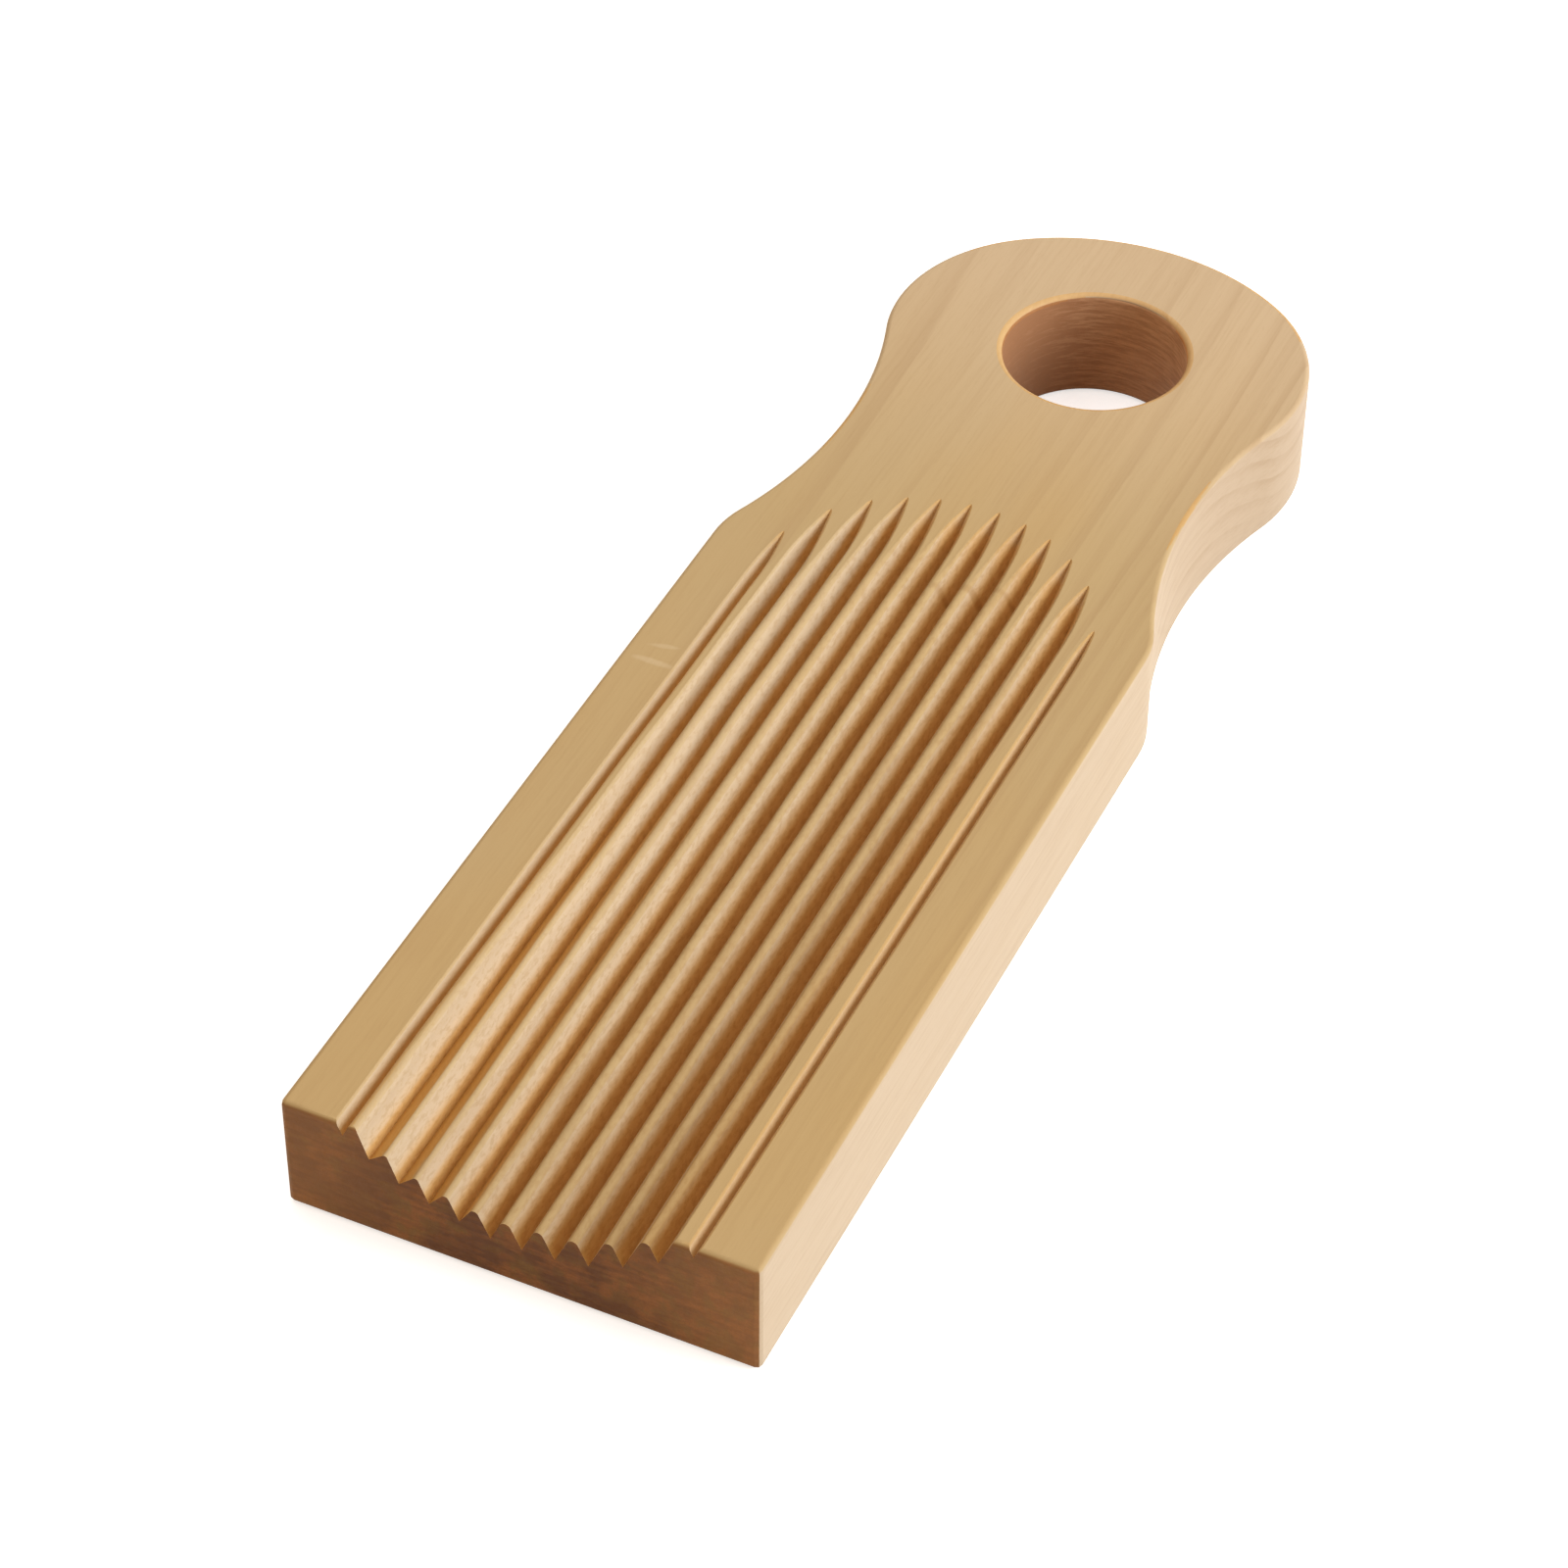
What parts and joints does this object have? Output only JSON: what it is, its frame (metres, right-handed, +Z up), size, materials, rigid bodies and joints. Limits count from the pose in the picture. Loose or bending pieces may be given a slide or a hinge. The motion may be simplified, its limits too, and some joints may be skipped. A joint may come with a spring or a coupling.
{
  "type": "gnocchi board",
  "caption": "Flat wooden board with a ribbed, hollowed rolling ramp that deepens towards its open end, a drawn-in neck and a round head with a hanging hole.",
  "frame": {"origin": "middle of the underside's bounding rectangle", "axes": "+Y along the board from the trough's open end to the head, +X across it, +Z up out of the ribbed face"},
  "size_m": [0.064, 0.208, 0.0175],
  "materials": {
    "wood": "sanded smooth, unvarnished, closed fine grain"
  },
  "bodies": {
    "root": {"board": "wood"}
  },
  "joints": []
}
